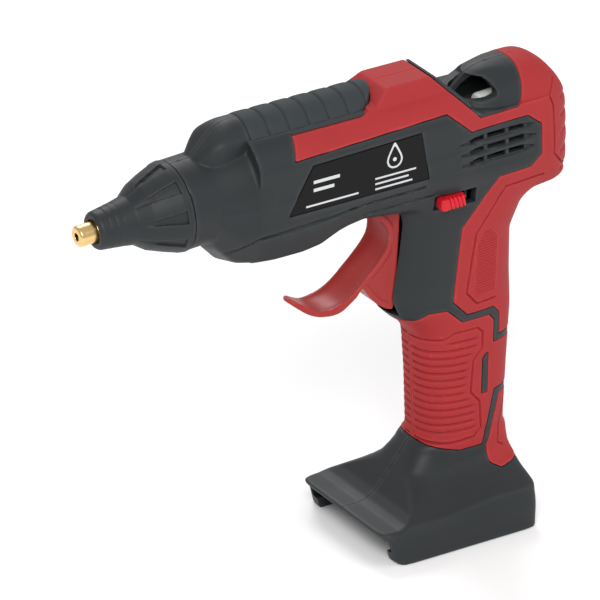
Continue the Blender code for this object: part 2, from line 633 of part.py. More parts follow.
def shade_round():
    """Smooth shading with sharp edges kept."""
    for obj in bpy.data.objects:
        if obj.type == "MESH":
            obj.data.shade_smooth()
            obj.data.set_sharp_from_angle(angle=math.radians(35))


def main():
    for obj in list(bpy.data.objects):
        bpy.data.objects.remove(obj)
    housing()
    axis = on_feed_axis()
    pieces = hot_end()
    more, start = feed_parts()
    pin, jaw = feed_carriage(more[-1], start)
    for obj in pieces + more + [pin, jaw]:
        obj.parent = axis
    trigger()
    return_spring()
    electrics()
    labels()
    screws()
    shade_round()


main()
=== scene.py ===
"""Looks of the cordless glue gun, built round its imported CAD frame.

Millimetres are used for shapes and turned into metres by MM when a mesh is made. +Z is up,
the nozzle points to -X and the tool is symmetric about Y = 0, as in the CAD. The moulded
parts are distance fields: negative inside, so a cut is a maximum and a union a minimum.
A dual-contouring mesher turns each field into one closed mesh with crisp edges.
"""
import json
import math

import bpy
import numpy as np
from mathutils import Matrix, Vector


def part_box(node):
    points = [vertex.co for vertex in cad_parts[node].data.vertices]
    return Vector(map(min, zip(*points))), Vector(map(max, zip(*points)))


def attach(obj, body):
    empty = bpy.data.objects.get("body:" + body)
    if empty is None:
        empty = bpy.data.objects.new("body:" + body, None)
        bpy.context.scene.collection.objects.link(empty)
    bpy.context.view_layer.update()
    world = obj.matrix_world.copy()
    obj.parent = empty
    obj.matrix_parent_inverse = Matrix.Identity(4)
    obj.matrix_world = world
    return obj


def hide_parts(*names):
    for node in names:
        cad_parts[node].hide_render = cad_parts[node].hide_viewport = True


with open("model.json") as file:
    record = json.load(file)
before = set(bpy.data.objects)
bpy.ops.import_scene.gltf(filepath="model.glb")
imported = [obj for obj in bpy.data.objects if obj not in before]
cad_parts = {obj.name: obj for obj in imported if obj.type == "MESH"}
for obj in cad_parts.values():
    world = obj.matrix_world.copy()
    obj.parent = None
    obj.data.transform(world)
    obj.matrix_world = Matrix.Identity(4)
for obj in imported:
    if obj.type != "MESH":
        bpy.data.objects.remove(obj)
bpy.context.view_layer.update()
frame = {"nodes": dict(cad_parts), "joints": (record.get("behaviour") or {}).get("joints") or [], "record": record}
MM = 0.001
COARSE = 1.0


# ------------------------ sizes from the frame
def node_box(name):
    """Corners of a CAD node in millimetres."""
    low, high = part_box(name)
    return [value / MM for value in low], [value / MM for value in high]


def joint(name):
    """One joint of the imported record."""
    return next(j for j in frame["joints"] if j["name"] == name)


FEED_TIP_Z = 192.5
FEED_SLOPE = 0.0535
TILT = math.atan(FEED_SLOPE)
NOZZLE_FACE_R = 3.4  # where the CAD nozzle reaches furthest forward
NOZZLE_TIP_X = node_box("nozzle")[0][0] + NOZZLE_FACE_R * math.sin(TILT)
CONE_LENGTH = 49.7  # from the nozzle tip to the back of the nose cone
PIVOT_X, _, PIVOT_Z = [value / MM for value in joint("trigger_pull")["pos_m"]]
TRIGGER_HALF = 10.0
SIDE_Y = 25.0  # flat sides of the body
HOOD_Z = 204.5  # centre height of the round hood
INSERT_FRONT, INSERT_PITCH = -45.5, 10.5
SKIN = 1.8  # thickness of the soft overmoulds
WALL = 4.2  # from the outer form to the cavity
GAP = 0.3  # round a part set into the shell
SPLIT = 0.12  # half the parting line between the halves
SINK = 0.25  # hard shell lies this far below the soft skin
STICK_R = 5.6
PIN_UP = 17.0  # feed pin above the trigger's pivot
BAY_TOP, BAY_HALF = 13.0, 34.0  # upper part of the battery bay
RAIL_TOP, RAIL_HALF = 5.5, 30.0  # between the rails below it
VENT_TOP_Z, VENT_PITCH, VENT_ROWS = 199.2, 5.4, 3
VENT_SLOTS = ((65.5, 73.5), (75.5, 85.5), (87.5, 96))
SOFT_TOP_Z = 215  # above this the grip on the back meets the shell
FAR = 99  # field value of nothing there


# ------------------------ small field tools
def smax(a, b, radius):
    """Larger of two fields, with an edge rounded by about radius."""
    near = np.maximum(radius - np.abs(a - b), 0.0)
    return np.maximum(a, b) + near * near / (4.0 * radius)


def smin(a, b, radius):
    """Smaller of two fields, with a fillet of about radius."""
    return -smax(-a, -b, radius)


def smooth_line(points, blur=1.5, step=0.25):
    """Function that reads a profile line with its corners softened by blur."""
    xs, values = np.array(points, float).T
    grid = np.arange(xs[0] - 6 * blur, xs[-1] + 6 * blur, step)
    dense = np.interp(grid, xs, values)
    reach = int(3 * blur / step) + 1
    weights = np.exp(-0.5 * (np.arange(-reach, reach + 1) * step / blur) ** 2)
    weights /= weights.sum()
    padded = np.pad(dense, reach, mode="edge")
    soft = np.convolve(padded, weights, mode="valid")
    return lambda x: np.interp(x, grid, soft)


def path_distance(points, x, z):
    """Distance to an open line."""
    best = np.full(x.shape, 1e9)
    for (x0, z0), (x1, z1) in zip(points, points[1:]):
        ex, ez = x1 - x0, z1 - z0
        wx, wz = x - x0, z - z0
        share = np.clip((wx * ex + wz * ez) / (ex * ex + ez * ez), 0, 1)
        best = np.minimum(best, (wx - ex * share) ** 2 + (wz - ez * share) ** 2)
    return np.sqrt(best)


def polygon_distance(outline, x, z):
    """Signed distance to a closed outline, negative inside."""
    closed = outline + outline[:1]
    inside = np.zeros(x.shape, bool)
    for (x0, z0), (x1, z1) in zip(closed, closed[1:]):
        crosses = ((z0 <= z) & (z < z1)) | ((z1 <= z) & (z < z0))
        if z0 != z1:
            inside ^= crosses & (x < x0 + (z - z0) * (x1 - x0) / (z1 - z0))
    return np.where(inside, -1.0, 1.0) * path_distance(closed, x, z)


class Chart:
    """A function of (x, z) worked out once on a fine grid and read by interpolation."""

    def __init__(self, function, low, high, step=0.2):
        self.low, self.step = low, step
        self.xs = np.arange(low[0], high[0] + step, step)
        self.zs = np.arange(low[1], high[1] + step, step)
        gx, gz = np.meshgrid(self.xs, self.zs, indexing="ij")
        self.values = function(gx, gz)

    def __call__(self, x, z):
        u = np.clip((x - self.low[0]) / self.step, 0, len(self.xs) - 1.001)
        v = np.clip((z - self.low[1]) / self.step, 0, len(self.zs) - 1.001)
        i, j = u.astype(int), v.astype(int)
        u, v = u - i, v - j
        a = self.values
        near = a[i, j] * (1 - u) + a[i + 1, j] * u
        far = a[i, j + 1] * (1 - u) + a[i + 1, j + 1] * u
        return near * (1 - v) + far * v


def rounded_outline(outline, radius):
    """Chart function of an outline whose corners are rounded both ways."""
    def field(x, z):
        return polygon_distance(outline, x, z)
    low = [min(p[i] for p in outline) - 6 for i in (0, 1)]
    high = [max(p[i] for p in outline) + 6 for i in (0, 1)]
    chart = Chart(field, low, high)
    soft = chart.values
    passes = max(1, int((radius / chart.step) ** 2))
    for _ in range(passes):
        for axis in (0, 1):
            ahead = np.roll(soft, -1, axis)
            behind = np.roll(soft, 1, axis)
            keep = soft.copy()
            soft = 0.5 * soft + 0.25 * (ahead + behind)
            edge = [slice(None)] * 2
            for side in (0, -1):
                edge[axis] = side
                soft[tuple(edge)] = keep[tuple(edge)]
    chart.values = soft
    return chart


def feed_z(x):
    """Height of the feed axis at x."""
    return FEED_TIP_Z + FEED_SLOPE * (x - NOZZLE_TIP_X)


def on_axis(x, y, z):
    """Distance along the feed axis from the nozzle tip, distance from it and angle round it."""
    dx, dz = x - NOZZLE_TIP_X, z - FEED_TIP_Z
    along = dx * math.cos(TILT) + dz * math.sin(TILT)
    up = dz * math.cos(TILT) - dx * math.sin(TILT)
    return along, np.hypot(y, up), np.arctan2(y, up)


def box_field(x, y, z, low, high, radius=0.4):
    """Box between two corners with rounded edges."""
    field = None
    for value, a, b in zip((x, y, z), low, high):
        slab = np.abs(value - (a + b) / 2) - (b - a) / 2
        field = slab if field is None else smax(field, slab, radius)
    return field


# ------------------------ outer form
SIDE_HALF = smooth_line([(-78.5, 21.5), (-66, 21.5), (-46, 25), (60, 25), (72, 23.6), (90, 22.8),
                         (104, 22.4), (112, 21.8), (118, 20.4), (124, 17.4), (128, 13.8), (131, 10)])
BELLY_Z = smooth_line([(-70, 180), (-62.2, 172.1), (-57.4, 167.2), (-55, 166.2), (-50, 165.3),
                       (-36, 164), (-21, 164), (-11.4, 165.3), (-6.4, 167.5), (-1.4, 169.5), (3.6, 170.8),
                       (12, 172), (46, 168), (92, 164), (118, 166)], 1.0)
CROWN_HALF = smooth_line([(-74, 5), (-64.4, 11), (-59, 12.8), (30, 12.8)], 0.6)
HOOD_R = smooth_line([(62, 4.0), (66, 8.4), (70, 13.2), (75, 17.6), (81, 20.2), (86, 21.3), (95, 21.9),
                      (107, 21.9), (113, 20.8), (118, 18.4), (121, 16.2), (124, 13.2), (127, 9.2),
                      (129, 6), (131, 2)])
REAR_SIDE = [(40, 160), (92, 158), (106, 162.3), (115.5, 163.8), (123, 167), (127.6, 172), (129.7, 180),
             (129.6, 192), (128, 200), (124.8, 208), (120.8, 215), (116.4, 221.4), (110, 226.6),
             (104, 228), (60, 228), (40, 200)]
HANDLE_CX = smooth_line([(30, 73.0), (50, 73.0), (75, 73.2), (98, 73.0), (104, 71.0), (112, 66.0),
                         (122, 63.5), (145, 65.5), (160, 70.0), (172, 74.0), (190, 74.0)], 1.8)
HANDLE_A = smooth_line([(30, 22.5), (50, 23.0), (75, 24.0), (98, 25.5), (104, 28.0), (112, 33.0),
                        (122, 35.0), (145, 32.5), (160, 35.0), (172, 42.0), (190, 42.0)], 1.8)
HANDLE_B = smooth_line([(30, 17.0), (50, 17.2), (75, 17.6), (98, 18.0), (104, 18.4), (112, 18.8),
                        (122, 19.4), (145, 20.6), (160, 21.8), (172, 22.4), (190, 22.4)], 1.8)
HANDLE_POWER = 2.7
FOOT_FRONT_X = smooth_line([(0, 18.3), (11, 14.7), (15.2, 10.4), (17.5, 10.8), (24, 27), (30, 37),
                            (38, 44), (46, 49), (60, 50)], 0.7)
FOOT_REAR_X = smooth_line([(0, 95.5), (11, 97), (20, 98.2), (24, 97.6), (34, 96.6), (60, 96)], 0.6)
FOOT_HALF_Y = smooth_line([(0, 40), (10.5, 39), (14, 38.2), (19.5, 36.0), (22.5, 31.5), (27, 25.2),
                           (30.5, 21), (34, 18.4), (38, 17.2), (60, 16.6)], 0.6)
FOOT_POWER = smooth_line([(0, 16), (20, 12), (24, 7), (33, 4.0), (41, 3.0), (50, 2.7)], 1.0)
FOOT_TOP_Z = smooth_line([(6, 16.4), (21, 16.4), (25, 17.6), (30, 20.5), (33, 24), (38, 30.5), (43, 37),
                          (46.5, 44), (49.5, 54), (52, 66)], 0.7)
FOOT_DROP = 3.0  # the shoulders are this much lower towards the front
BLOCK_END_X = 112.0  # the flat-sided body ends inside the hood here


def superellipse(x, y, cx, a, b, power):
    """First-order distance to a rounded rectangle whose corners fill out as power rises."""
    u, v = np.abs(x - cx) / a + 1e-6, np.abs(y) / b + 1e-6
    size = (u ** power + v ** power) ** (1.0 / power)
    slope = np.hypot((u / size) ** (power - 1) / a, (v / size) ** (power - 1) / b)
    return (size - 1) / slope


def half_planes(ay, z, planes, radius):
    """Convex section from (normal y, normal z, point y, point z) planes."""
    field = None
    for ny, nz, py, pz in planes:
        size = math.hypot(ny, nz)
        plane = ((ay - py) * ny + (z - pz) * nz) / size
        field = plane if field is None else smax(field, plane, radius)
    return field


def neck_field(x, y, z):
    """Round neck that widens into the body."""
    radius = np.hypot(y, (z - feed_z(x)) * math.cos(TILT))
    along, _, _ = on_axis(x, y, z)
    front = CONE_LENGTH + GAP - along
    return smax(smax(radius - SIDE_HALF(x), front, 0.8), x + 40, 1.0)


def crown_tail(x, y):
    """Rounded rear end of the crown, seen from above."""
    return (np.hypot(np.maximum(x - 9, 0) / 14.5, y / 12.8) - 1) * 12.8


def crown_field(x, y, z):
    """Raised back of the barrel that carries the soft grip."""
    ay = np.abs(y)
    arc = np.hypot(y, np.maximum(z - 217.4, 0)) - 14.0
    field = smax(arc, ay - CROWN_HALF(x), 1.2)
    nose = -(x + 70) * 0.699 + (z - 218) * 0.715
    field = smax(field, nose, 5.0)
    field = smax(field, crown_tail(x, y), 0.8)
    return smax(field, 205 - z, 1.0)


def block_field(x, y, z):
    """Flat-sided body between the neck and the hood."""
    ay = np.abs(y)
    half = SIDE_HALF(x)
    shifted = ay - (half - 25)
    drop = z - (BELLY_Z(x) - 164)
    upper = half_planes(shifted, z, [(0.0, 1.0, 0, 225.0), (3.4, 6.5, 12.5, 225.0),
                                     (7.6, 5.5, 19, 221.6), (1.0, 0.0, 25, 200)], 2.2)
    lower = half_planes(shifted, drop, [(14, -7, 18, 164), (0.27, -0.963, 18, 164)], 1.6)
    whole = smax(upper, lower, 1.6)
    top_part = smax(whole, -48 - x, 0.5)
    belly_part = smax(smax(whole, z - 196, 2.0), -66 - x, 2.0)
    back_slope = (x - 54) * 0.711 + (z - 230.7) * 0.703
    ledge = z - 211.0
    behind = smin(back_slope, ledge, 0.8)
    top_part = smax(top_part, behind, 0.6)
    return smax(smin(top_part, belly_part, 1.5), x - BLOCK_END_X, 4.0)


def hump_field(x, y, z):
    """Peak behind the grip."""
    ay = np.abs(y)
    field = smax(z - 230.9, ((ay - 11.2) * 6.8 + (z - 230.9) * 3.8) / 7.79, 0.8)
    front = -(x - 27.9) * 0.63 + (z - 230.9) * 0.777
    field = smax(field, front, 1.2)
    back = (x - 54) * 0.711 + (z - 230.7) * 0.703
    return smax(smax(field, back, 0.5), 215 - z, 1.0)


REAR_CHART = rounded_outline(REAR_SIDE, 0.8)


def rear_field(x, y, z):
    """Hood over the stick inlet and the rounded back of the body."""
    ay = np.abs(y)
    below = np.clip((HOOD_Z - z) / 20, 0, 1)
    stadium = np.hypot(ay, np.maximum(z - HOOD_Z, 0)) - HOOD_R(x) - 1.0 * below
    profile = np.where(x < 80, np.maximum(62 - x, z - 240), REAR_CHART(x, z))
    low_edge = half_planes(ay, z, [(14, -7, 17.5, 165.5)], 1.0)
    field = smax(stadium, profile, 4.0)
    field = smax(field, low_edge, 3.0)
    return smax(field, 66 - x, 1.0)


def handle_field(x, y, z):
    """Handle column."""
    field = superellipse(x, y, HANDLE_CX(z), HANDLE_A(z), HANDLE_B(z), HANDLE_POWER)
    return smax(smax(field, z - 182, 2.0), 28 - z, 2.0)


def foot_field(x, y, z):
    """Battery foot: skirt, sloping shoulders and a thin lip over the front of the bay."""
    front, rear = FOOT_FRONT_X(z), FOOT_REAR_X(z)
    shoulder = z + FOOT_DROP * np.clip((72 - x) / 24, 0, 1) * np.clip((z - 9) / 7, 0, 1)
    field = superellipse(x, y, (front + rear) / 2, (rear - front) / 2, FOOT_HALF_Y(shoulder),
                         FOOT_POWER(shoulder))
    slope = FOOT_TOP_Z(x + 0.5) - FOOT_TOP_Z(x - 0.5)
    top = (z - FOOT_TOP_Z(x)) / np.sqrt(1 + slope ** 2)
    field = smax(field, top, 2.0)
    return smax(smax(field, -z, 1.2), z - 43, 3.0)


def form(x, y, z):
    """Outer surface of the whole tool without its small details."""
    body = smin(neck_field(x, y, z), block_field(x, y, z), 1.6)
    body = smin(body, crown_field(x, y, z), 0.7)
    body = smin(body, hump_field(x, y, z), 0.6)
    body = smin(body, rear_field(x, y, z), 1.2)
    grip = smin(handle_field(x, y, z), foot_field(x, y, z), 3.5)
    return smin(body, grip, 4.0)


# ------------------------ dual contouring
BLOCK = 4  # cells along a side of the blocks that are tested first
SHARP = 38  # edges sharper than this many degrees are not smoothed
PULL = 0.03  # draws a corner towards the middle of its cell's crossings


def in_chunks(field, points, size=400000):
    """Field values at points, worked out a part at a time."""
    parts = [field(*points[i:i + size].T) for i in range(0, len(points), size)]
    return np.concatenate(parts) if parts else np.zeros(0)


def gradient(field, points, reach):
    """Unit gradient from four samples at the corners of a small tetrahedron."""
    corners = np.array([(1, -1, -1), (-1, -1, 1), (-1, 1, -1), (1, 1, 1)], float)
    total = np.zeros_like(points)
    for corner in corners:
        total += corner * in_chunks(field, points + corner * reach)[:, None]
    return total / np.maximum(np.linalg.norm(total, axis=1, keepdims=True), 1e-9)


def active_cells(field, low, step, counts):
    """Mask of the cells near the surface, found block by block."""
    blocks = [count // BLOCK for count in counts]
    centres = np.stack(np.meshgrid(*[np.arange(n) for n in blocks], indexing="ij"), -1)
    centres = low + (centres.reshape(-1, 3) + 0.5) * BLOCK * step
    near = np.abs(in_chunks(field, centres)) < BLOCK * step * 0.5 * math.sqrt(3) * 1.5 + 1.0
    mask = near.reshape(blocks)
    for axis in range(3):
        mask = np.repeat(mask, BLOCK, axis)
    return mask


def grid_values(field, low, step, mask):
    """Field at every corner of the active cells; far points count as outside."""
    shape = [n + 1 for n in mask.shape]
    wanted = np.zeros(shape, bool)
    for corner in np.ndindex(2, 2, 2):
        wanted[tuple(slice(at, at + count) for at, count in zip(corner, mask.shape))] |= mask
    places = np.argwhere(wanted)
    values = np.full(shape, 1.0, np.float32)
    values[wanted] = in_chunks(field, low + places * step)
    return values


def crossings(field, values, mask, low, step):
    """Where the surface crosses grid edges: positions, normals, the four cells round each."""
    points, cells, flips = [], [], []
    for axis in range(3):
        size = values.shape[axis]
        first = np.take(values, range(size - 1), axis)
        second = np.take(values, range(1, size), axis)
        inner = np.zeros(first.shape, bool)
        others = [a for a in range(3) if a != axis]
        span = [slice(None)] * 3
        for a in others:
            span[a] = slice(1, -1)
        inner[tuple(span)] = True
        hit = np.argwhere(((first < 0) != (second < 0)) & inner)
        near = mask[tuple(np.minimum(hit, np.array(mask.shape) - 1).T)]
        b, c = (axis + 1) % 3, (axis + 2) % 3
        round_cells = []
        for db, dc in ((-1, -1), (0, -1), (0, 0), (-1, 0)):
            cell = hit.copy()
            cell[:, b] += db
            cell[:, c] += dc
            round_cells.append(cell)
            near &= mask[tuple(cell.T)]
        hit = hit[near]
        v0 = first[tuple(hit.T)].astype(float)
        v1 = second[tuple(hit.T)].astype(float)
        share = v0 / (v0 - v1)
        start = low + hit * step
        along = np.zeros(3)
        along[axis] = step
        lo, hi, flo, fhi = np.zeros(len(hit)), np.ones(len(hit)), v0, v1
        for _ in range(2):
            middle = in_chunks(field, start + share[:, None] * along)
            same = (middle < 0) == (flo < 0)
            lo, flo = np.where(same, share, lo), np.where(same, middle, flo)
            hi, fhi = np.where(same, hi, share), np.where(same, fhi, middle)
            share = lo + (hi - lo) * np.clip(flo / (flo - fhi + 1e-12), 0, 1)
        points.append(start + share[:, None] * along)
        cells.append(np.stack([cell[near] for cell in round_cells], 1))
        flips.append(v0 < 0)
    return np.concatenate(points), np.concatenate(cells), np.concatenate(flips)


def contour(field, low, high, step):
    """Vertices and triangles of the surface where field is zero."""
    step *= COARSE
    low = np.array(low, float)
    counts = [int(math.ceil((b - a) / step / BLOCK)) * BLOCK for a, b in zip(low, high)]
    mask = active_cells(field, low, step, counts)
    values = grid_values(field, low, step, mask)
    points, cells, flips = crossings(field, values, mask, low, step)
    normals = gradient(field, points, 0.04 * step)
    flat = np.ravel_multi_index(cells.reshape(-1, 3).T, mask.shape)
    keys, index = np.unique(flat, return_inverse=True)
    index = index.reshape(-1, 4)
    count = len(keys)
    owner = index.ravel()
    p, n = np.repeat(points, 4, 0), np.repeat(normals, 4, 0)

    def gathered(weights):
        return np.bincount(owner, weights, count)

    number = np.maximum(gathered(None), 1)
    middle = np.stack([gathered(p[:, i]) for i in range(3)], 1) / number[:, None]
    offset = p - middle[owner]
    reach = (n * offset).sum(1)
    matrix = np.zeros((count, 3, 3))
    target = np.zeros((count, 3))
    for i in range(3):
        target[:, i] = gathered(n[:, i] * reach)
        for j in range(i, 3):
            matrix[:, i, j] = matrix[:, j, i] = gathered(n[:, i] * n[:, j])
    matrix += PULL * number[:, None, None] * np.eye(3)
    verts = middle + np.linalg.solve(matrix, target[:, :, None])[:, :, 0]
    corner = low + np.stack(np.unravel_index(keys, mask.shape), 1) * step
    verts = np.clip(verts, corner - 0.02 * step, corner + 1.02 * step)
    quads = np.where(flips[:, None], index, index[:, ::-1])
    return verts, split_quads(field, verts, quads)


def split_quads(field, verts, quads):
    """Two triangles a quad, along the diagonal that lies closer to the surface."""
    a, b, c, d = quads.T
    first = np.abs(in_chunks(field, (verts[a] + verts[c]) / 2))
    second = np.abs(in_chunks(field, (verts[b] + verts[d]) / 2))
    use = first <= second
    one = np.where(use[:, None], np.stack([a, b, c], 1), np.stack([a, b, d], 1))
    two = np.where(use[:, None], np.stack([a, c, d], 1), np.stack([b, c, d], 1))
    triangles = np.concatenate([one, two])
    good = (triangles[:, 0] != triangles[:, 1]) & (triangles[:, 1] != triangles[:, 2])
    return triangles[good & (triangles[:, 0] != triangles[:, 2])]


def mesh_object(name, verts, faces):
    """Blender object from millimetre vertices and triangles."""
    mesh = bpy.data.meshes.new(name)
    mesh.vertices.add(len(verts))
    mesh.vertices.foreach_set("co", (np.asarray(verts) * MM).astype(np.float32).ravel())
    mesh.loops.add(len(faces) * 3)
    mesh.loops.foreach_set("vertex_index", np.asarray(faces, np.int32).ravel())
    mesh.polygons.add(len(faces))
    mesh.polygons.foreach_set("loop_start", np.arange(0, len(faces) * 3, 3, dtype=np.int32))
    mesh.update()
    mesh.validate()
    mesh.shade_smooth()
    mesh.set_sharp_from_angle(angle=math.radians(SHARP))
    obj = bpy.data.objects.new(name, mesh)
    bpy.context.scene.collection.objects.link(obj)
    return obj


def moulded(name, field, low, high, step):
    """Object meshed from a field in a box."""
    return mesh_object(name, *contour(field, low, high, step))


def adopt(obj, body, nodes, finish):
    """Give a piece its body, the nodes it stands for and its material."""
    obj.data.materials.clear()
    obj.data.materials.append(FINISH[finish])
    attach(obj, body)
    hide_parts(*nodes)
    "label" if finish == "print" else finish


# ------------------------ outlines on the sides (x, z)
UPPER_RED = [(-29, 213.5), (53, 216), (66, 204.3), (97.5, 204.3), (105.3, 198.2), (105.3, 183),
             (99.6, 177.8), (82, 177.6), (63, 155), (60, 120), (60, 117), (68, 108.6), (83, 108.6),
             (87, 104), (87, 93), (140, 93), (140, 240), (16, 240), (16, 223.5), (11, 222.4),
             (-26, 222.4)]
NOTCH = [(50.6, 231.6), (71, 209.9), (92, 209.8), (94.8, 211.4), (96.4, 215.3), (98.7, 222), (99.5, 225),
         (99.5, 250), (50.6, 250)]
GRIP_RED = [(20, 110), (42, 110), (48, 113.5), (57, 113), (65.6, 105), (80.5, 105), (83.5, 101.5),
            (83.5, 89.6), (110, 89.6), (110, 65), (84.5, 65), (80.5, 48), (77, 38.6), (65, 38.6),
            (54, 41.6), (20, 51)]
HEEL_RED = [(88, 61.5), (110, 61.5), (110, 30), (84, 27.5), (79.5, 30), (79.5, 37), (83.5, 46)]
LABEL = [(-33, 187.5), (42, 187.5), (38, 211), (-20, 209.5)]

UPPER_CHART = rounded_outline(UPPER_RED, 0.5)
NOTCH_CHART = rounded_outline(NOTCH, 0.4)
GRIP_CHART = rounded_outline(GRIP_RED, 0.6)
HEEL_CHART = rounded_outline(HEEL_RED, 0.8)
LABEL_CHART = rounded_outline(LABEL, 0.4)
INLAY = [(77.2, 83), (79, 85.2), (80.6, 85.2), (80.4, 64.5), (77, 64.5)]
INLAY_CHART = rounded_outline(INLAY, 0.3)


def upper_outline(x, z):
    """Upper overmould with the notch that the hump and the hood leave in it."""
    return smax(UPPER_CHART(x, z), -NOTCH_CHART(x, z), 0.3)


def grip_outline(x, z):
    """Grip of the handle with the slim window that shows the hard shell."""
    return smax(GRIP_CHART(x, z), -INLAY_CHART(x, z), 0.2)


def insert_outline(x, y):
    """Plan outline of the soft grip on the back."""
    return smax(smax(crown_tail(x, y), np.abs(y) - 12.9, 0.5), INSERT_FRONT - x, 0.3)


# ------------------------ housing
def groove(distance, width, depth):
    """Depth of a round-bottomed groove at a distance from its middle."""
    return depth * np.clip(1 - (distance / (width / 2)) ** 2, 0, 1)


SEAM = [(-62, 172.5), (-47, 180), (40, 183.5)]
LOWER_SEAM = [(10, 175), (48, 177)]
LANE, LANE_DEPTH = (58, 102), 1.1  # shallow lanes that the vents open from


def vent_height(row):
    """Height of a row of vents."""
    return VENT_TOP_Z - VENT_PITCH * row


def housing_relief(x, z):
    """Depth of the small cuts in the hard sides."""
    depth = groove(path_distance(SEAM, x, z), 1.6, 0.9)
    depth = np.maximum(depth, groove(path_distance(LOWER_SEAM, x, z), 1.3, 0.6))
    front, rear = LANE
    fade = np.clip((x - front) / 12, 0, 1) * np.clip((rear - x) / 8, 0, 1)
    for row in range(VENT_ROWS):
        lane = np.abs(z - vent_height(row)) - 1.9 * fade
        cut = LANE_DEPTH * np.clip(0.5 - lane / 0.8, 0, 1)
        depth = np.maximum(depth, cut * (x > front) * (x < rear))
    return depth


RELIEF = Chart(housing_relief, (-80, 150), (110, 215))
WINDOW = [(68, 213.0), (79, 213.8), (84, 215.3), (84.6, 217.4), (83, 220.8), (80.5, 222.3), (76, 222.4),
          (68, 217.5)]
WINDOW_CHART = rounded_outline(WINDOW, 0.9)
FACET_TILT = math.radians(55)  # of the flat round the hood's window, above level
FACET_DEPTH = 1.2
WEB_HALF, WEB_LIFT = 0.8, 9.0  # thin wall between the halves over the feed tunnel
SHELF_Z = 204.2  # ledge beside the tunnel that hides the vents from above
NOSE_BORE_Z, NOSE_BORE_R = 195.3, 18.9  # opening behind the nose cone
BAY_ENDS = (-5, 86)
TUNNEL_R = 8.2  # bore that the sticks are pushed through
PIN_HOLE_R = 2.3  # for the trigger's pin
SWITCH_SLOT = ((47.6, -30, 167.6), (69.4, -18, 175.4))


def window_facet(x, ay, z):
    """Shallow flat round the hood's window, which fades out towards the rear."""
    reach = ay * math.cos(FACET_TILT) + (z - HOOD_Z) * math.sin(FACET_TILT)
    fade = np.clip(np.minimum((94 - x) / 12, (x - 66) / 6), 0, 1)
    facet = smax(HOOD_R(x) - FACET_DEPTH * fade * (2 - fade) - reach, 67 - x, 0.5)
    return smax(facet, 211.4 - z, 0.8)


def housing_field(x, y, z):
    """Hard shell with its cavity and openings, both halves."""
    outer = form(x, y, z)
    ay = np.abs(y)
    flat = np.clip((ay - 14) / 4, 0, 1)
    skin = smax(outer + SINK + RELIEF(x, z) * flat, -window_facet(x, ay, z), 0.6)
    soft = np.minimum(np.minimum(upper_outline(x, z), grip_outline(x, z)), HEEL_CHART(x, z))
    soft = np.minimum(soft, np.where(z > SOFT_TOP_Z, insert_outline(x, y), FAR))
    seat = smax(soft - GAP, -(outer + SKIN + GAP), 0.3)
    field = smax(skin, -seat, 0.3)
    field = smax(field, -smax(LABEL_CHART(x, z) - GAP, SIDE_Y - 1.0 - ay, 0.2), 0.2)
    cavity = smax(outer + WALL, BAY_TOP + 2.5 - z, 2.0)
    web = np.maximum(ay - WEB_HALF, feed_z(x) + WEB_LIFT - z)
    liner = np.maximum(np.minimum(web, np.abs(z - SHELF_Z) - WEB_HALF), 64 - x)
    cavity = np.maximum(cavity, -liner)
    field = np.maximum(field, -cavity)
    return smax(field, -openings_field(x, y, z), 0.3)


def openings_field(x, y, z):
    """Everything cut through the shell."""
    ay = np.abs(y)
    cut = np.maximum(np.hypot(y, z - NOSE_BORE_Z) - NOSE_BORE_R, x + 70)
    front, rear = BAY_ENDS
    bay = smin(box_field(x, y, z, (front, -BAY_HALF, RAIL_TOP), (rear, BAY_HALF, BAY_TOP), 1.5),
               box_field(x, y, z, (front, -RAIL_HALF, -5), (rear, RAIL_HALF, RAIL_TOP + 1), 1.5), 0.3)
    cut = np.minimum(cut, bay)
    slot = smax(SLOT_CHART(x, z), ay - TRIGGER_HALF - 0.5, 0.6)
    cut = np.minimum(cut, slot)
    cut = np.minimum(cut, np.maximum(np.hypot(x - PIVOT_X, z - PIVOT_Z) - PIN_HOLE_R, ay - 18))
    tunnel = np.maximum(np.hypot(y, z - feed_z(x)) - TUNNEL_R, 60 - x)
    cut = np.minimum(cut, tunnel)
    window = smax(WINDOW_CHART(x, z), 1.0 - ay, 0.5)
    cut = np.minimum(cut, window)
    for row in range(VENT_ROWS):
        for start, end in VENT_SLOTS:
            length = np.abs(x - (start + end) / 2) - (end - start) / 2
            vent = smax(np.abs(z - vent_height(row)) - 1.0, length, 0.4)
            cut = np.minimum(cut, np.maximum(vent, 8 - ay))
    return np.minimum(cut, box_field(x, y, z, *SWITCH_SLOT, 0.6))


SLOT_CHART = rounded_outline([(12, 150), (12, 176), (46, 176), (53, 124), (53, 113), (20, 113)], 0.6)


def half(field, sign):
    """Left (-1) or right (1) half of a field, with a soft parting edge."""
    return lambda x, y, z: smax(field(x, y, z), SPLIT - sign * y, 0.3)


def skin_field(outline, relief):
    """Overmould inside an outline, as thick as the skin."""
    def field(x, y, z):
        outer = form(x, y, z)
        face = outer + relief(x, y, z)
        field = smax(face, outline(x, z), 0.9)
        bite = np.where(z > SOFT_TOP_Z, insert_outline(x, y) - GAP, FAR)
        field = smax(field, -bite, 0.3)
        return smax(field, -(outer + SKIN - 0.2), 0.2)
    return field


